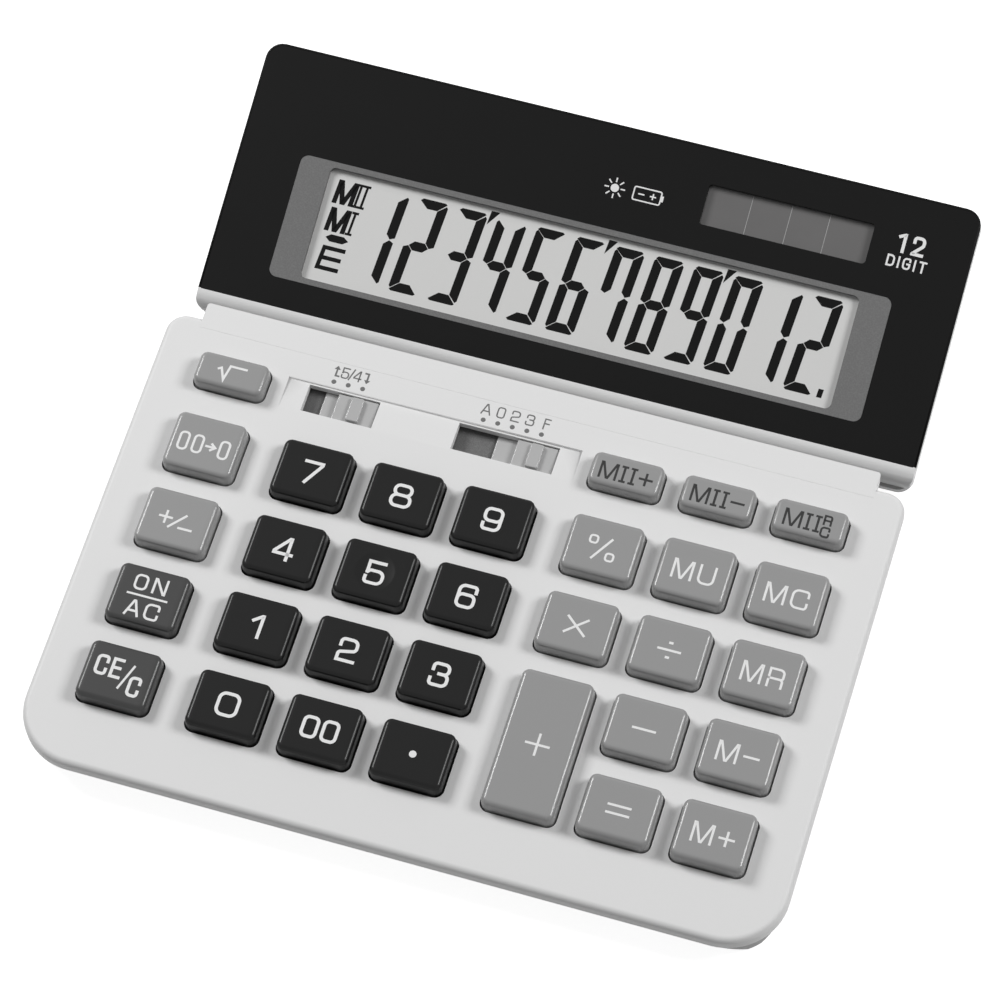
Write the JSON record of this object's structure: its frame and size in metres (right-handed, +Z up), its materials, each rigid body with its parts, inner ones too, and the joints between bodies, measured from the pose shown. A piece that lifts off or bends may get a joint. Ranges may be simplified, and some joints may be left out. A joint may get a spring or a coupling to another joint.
{
  "type": "desk calculator",
  "caption": "Wedge-shaped desk calculator with raised keys, two slide switches and a wide display unit with a solar window that tilts on pins behind the base.",
  "frame": {"origin": "on the desk plane, under the middle of the whole part's bounding box", "axes": "+X to the user's right, +Y to the rear, +Z up"},
  "size_m": [0.1508, 0.1594, 0.0324],
  "materials": {
    "case_white": "moulded plastic with a fine satin texture",
    "case_grey": "moulded plastic with a fine texture",
    "key_grey": "moulded plastic, satin, printed legend",
    "key_black": "moulded plastic, satin, printed legend",
    "key_charcoal": "moulded plastic, satin, printed legend",
    "switch_grey": "moulded plastic, satin",
    "fascia_black": "back-painted sheet, satin gloss",
    "mask_grey": "printed satin sheet",
    "display_glass": "polarised liquid-crystal cell",
    "solar_glass": "thin-film cell on glass",
    "reflector": "satin foil",
    "board": "glass-fibre board with lacquer",
    "chip": "cast resin",
    "mat": "silicone sheet",
    "felt": "pressed felt",
    "ribbon": "flat ribbon cable",
    "rubber": "moulded rubber",
    "steel": "bright steel"
  },
  "bodies": {
    "base": {"upper_case": "case_white", "lower_case": "case_grey", "battery_door": "case_grey", "battery_door_screw": "steel", "button_cell": "steel", "battery_contacts": "steel", "rubber_feet": "rubber", "case_screws": "steel", "main_board": "board", "controller_chip": "chip", "key_mat": "mat", "switch_felts": "felt", "base_ribbon": "ribbon"},
    "display": {"display_front_shell": "case_white", "display_rear_shell": "case_grey", "fascia_panel": "fascia_black", "display_mask": "mask_grey", "display_glass": "display_glass", "display_reflector": "reflector", "solar_panel": "solar_glass", "contact_strip": "rubber", "display_board": "board", "display_screws": "steel", "display_ribbon": "ribbon", "hinge_pins": "steel"},
    "rounding_switch": {"rounding_slider": "switch_grey", "rounding_wiper": "steel"},
    "decimals_switch": {"decimals_slider": "switch_grey", "decimals_wiper": "steel"},
    "key_square_root": {"key_square_root": "key_grey"},
    "key_second_memory_plus": {"key_second_memory_plus": "key_grey"},
    "key_second_memory_minus": {"key_second_memory_minus": "key_grey"},
    "key_second_memory_recall": {"key_second_memory_recall": "key_grey"},
    "key_shift_back": {"key_shift_back": "key_grey"},
    "key_7": {"key_7": "key_black"},
    "key_8": {"key_8": "key_black"},
    "key_9": {"key_9": "key_black"},
    "key_percent": {"key_percent": "key_grey"},
    "key_markup": {"key_markup": "key_grey"},
    "key_memory_clear": {"key_memory_clear": "key_grey"},
    "key_sign": {"key_sign": "key_grey"},
    "key_4": {"key_4": "key_black"},
    "key_5": {"key_5": "key_black"},
    "key_6": {"key_6": "key_black"},
    "key_multiply": {"key_multiply": "key_grey"},
    "key_divide": {"key_divide": "key_grey"},
    "key_memory_recall": {"key_memory_recall": "key_grey"},
    "key_on_all_clear": {"key_on_all_clear": "key_charcoal"},
    "key_1": {"key_1": "key_black"},
    "key_2": {"key_2": "key_black"},
    "key_3": {"key_3": "key_black"},
    "key_plus": {"key_plus": "key_grey"},
    "key_minus": {"key_minus": "key_grey"},
    "key_memory_minus": {"key_memory_minus": "key_grey"},
    "key_clear_entry": {"key_clear_entry": "key_charcoal"},
    "key_0": {"key_0": "key_black"},
    "key_00": {"key_00": "key_black"},
    "key_point": {"key_point": "key_black"},
    "key_equals": {"key_equals": "key_grey"},
    "key_memory_plus": {"key_memory_plus": "key_grey"}
  },
  "joints": [
    {"name": "display_tilt", "type": "hinge", "parent": "base", "child": "display", "pos_m": [0, 0.03215, 0.00715], "axis": [1, 0, 0], "range_deg": [-22, 10]},
    {"name": "rounding_slide", "type": "slide", "parent": "base", "child": "rounding_switch", "axis": [1, 0, 0], "range_m": [-0.00594, 0]},
    {"name": "decimals_slide", "type": "slide", "parent": "base", "child": "decimals_switch", "axis": [1, 0, 0], "range_m": [-0.01188, 0]},
    {"name": "press_square_root", "type": "slide", "parent": "base", "child": "key_square_root", "axis": [0, 0.1045, -0.9945], "range_m": [0, 0.0012], "stiffness_N_per_m": 400},
    {"name": "press_second_memory_plus", "type": "slide", "parent": "base", "child": "key_second_memory_plus", "axis": [0, 0.1045, -0.9945], "range_m": [0, 0.0012], "stiffness_N_per_m": 400},
    {"name": "press_second_memory_minus", "type": "slide", "parent": "base", "child": "key_second_memory_minus", "axis": [0, 0.1045, -0.9945], "range_m": [0, 0.0012], "stiffness_N_per_m": 400},
    {"name": "press_second_memory_recall", "type": "slide", "parent": "base", "child": "key_second_memory_recall", "axis": [0, 0.1045, -0.9945], "range_m": [0, 0.0012], "stiffness_N_per_m": 400},
    {"name": "press_shift_back", "type": "slide", "parent": "base", "child": "key_shift_back", "axis": [0, 0.1045, -0.9945], "range_m": [0, 0.0012], "stiffness_N_per_m": 400},
    {"name": "press_7", "type": "slide", "parent": "base", "child": "key_7", "axis": [0, 0.1045, -0.9945], "range_m": [0, 0.0012], "stiffness_N_per_m": 400},
    {"name": "press_8", "type": "slide", "parent": "base", "child": "key_8", "axis": [0, 0.1045, -0.9945], "range_m": [0, 0.0012], "stiffness_N_per_m": 400},
    {"name": "press_9", "type": "slide", "parent": "base", "child": "key_9", "axis": [0, 0.1045, -0.9945], "range_m": [0, 0.0012], "stiffness_N_per_m": 400},
    {"name": "press_percent", "type": "slide", "parent": "base", "child": "key_percent", "axis": [0, 0.1045, -0.9945], "range_m": [0, 0.0012], "stiffness_N_per_m": 400},
    {"name": "press_markup", "type": "slide", "parent": "base", "child": "key_markup", "axis": [0, 0.1045, -0.9945], "range_m": [0, 0.0012], "stiffness_N_per_m": 400},
    {"name": "press_memory_clear", "type": "slide", "parent": "base", "child": "key_memory_clear", "axis": [0, 0.1045, -0.9945], "range_m": [0, 0.0012], "stiffness_N_per_m": 400},
    {"name": "press_sign", "type": "slide", "parent": "base", "child": "key_sign", "axis": [0, 0.1045, -0.9945], "range_m": [0, 0.0012], "stiffness_N_per_m": 400},
    {"name": "press_4", "type": "slide", "parent": "base", "child": "key_4", "axis": [0, 0.1045, -0.9945], "range_m": [0, 0.0012], "stiffness_N_per_m": 400},
    {"name": "press_5", "type": "slide", "parent": "base", "child": "key_5", "axis": [0, 0.1045, -0.9945], "range_m": [0, 0.0012], "stiffness_N_per_m": 400},
    {"name": "press_6", "type": "slide", "parent": "base", "child": "key_6", "axis": [0, 0.1045, -0.9945], "range_m": [0, 0.0012], "stiffness_N_per_m": 400},
    {"name": "press_multiply", "type": "slide", "parent": "base", "child": "key_multiply", "axis": [0, 0.1045, -0.9945], "range_m": [0, 0.0012], "stiffness_N_per_m": 400},
    {"name": "press_divide", "type": "slide", "parent": "base", "child": "key_divide", "axis": [0, 0.1045, -0.9945], "range_m": [0, 0.0012], "stiffness_N_per_m": 400},
    {"name": "press_memory_recall", "type": "slide", "parent": "base", "child": "key_memory_recall", "axis": [0, 0.1045, -0.9945], "range_m": [0, 0.0012], "stiffness_N_per_m": 400},
    {"name": "press_on_all_clear", "type": "slide", "parent": "base", "child": "key_on_all_clear", "axis": [0, 0.1045, -0.9945], "range_m": [0, 0.0012], "stiffness_N_per_m": 400},
    {"name": "press_1", "type": "slide", "parent": "base", "child": "key_1", "axis": [0, 0.1045, -0.9945], "range_m": [0, 0.0012], "stiffness_N_per_m": 400},
    {"name": "press_2", "type": "slide", "parent": "base", "child": "key_2", "axis": [0, 0.1045, -0.9945], "range_m": [0, 0.0012], "stiffness_N_per_m": 400},
    {"name": "press_3", "type": "slide", "parent": "base", "child": "key_3", "axis": [0, 0.1045, -0.9945], "range_m": [0, 0.0012], "stiffness_N_per_m": 400},
    {"name": "press_plus", "type": "slide", "parent": "base", "child": "key_plus", "axis": [0, 0.1045, -0.9945], "range_m": [0, 0.0012], "stiffness_N_per_m": 400},
    {"name": "press_minus", "type": "slide", "parent": "base", "child": "key_minus", "axis": [0, 0.1045, -0.9945], "range_m": [0, 0.0012], "stiffness_N_per_m": 400},
    {"name": "press_memory_minus", "type": "slide", "parent": "base", "child": "key_memory_minus", "axis": [0, 0.1045, -0.9945], "range_m": [0, 0.0012], "stiffness_N_per_m": 400},
    {"name": "press_clear_entry", "type": "slide", "parent": "base", "child": "key_clear_entry", "axis": [0, 0.1045, -0.9945], "range_m": [0, 0.0012], "stiffness_N_per_m": 400},
    {"name": "press_0", "type": "slide", "parent": "base", "child": "key_0", "axis": [0, 0.1045, -0.9945], "range_m": [0, 0.0012], "stiffness_N_per_m": 400},
    {"name": "press_00", "type": "slide", "parent": "base", "child": "key_00", "axis": [0, 0.1045, -0.9945], "range_m": [0, 0.0012], "stiffness_N_per_m": 400},
    {"name": "press_point", "type": "slide", "parent": "base", "child": "key_point", "axis": [0, 0.1045, -0.9945], "range_m": [0, 0.0012], "stiffness_N_per_m": 400},
    {"name": "press_equals", "type": "slide", "parent": "base", "child": "key_equals", "axis": [0, 0.1045, -0.9945], "range_m": [0, 0.0012], "stiffness_N_per_m": 400},
    {"name": "press_memory_plus", "type": "slide", "parent": "base", "child": "key_memory_plus", "axis": [0, 0.1045, -0.9945], "range_m": [0, 0.0012], "stiffness_N_per_m": 400}
  ]
}
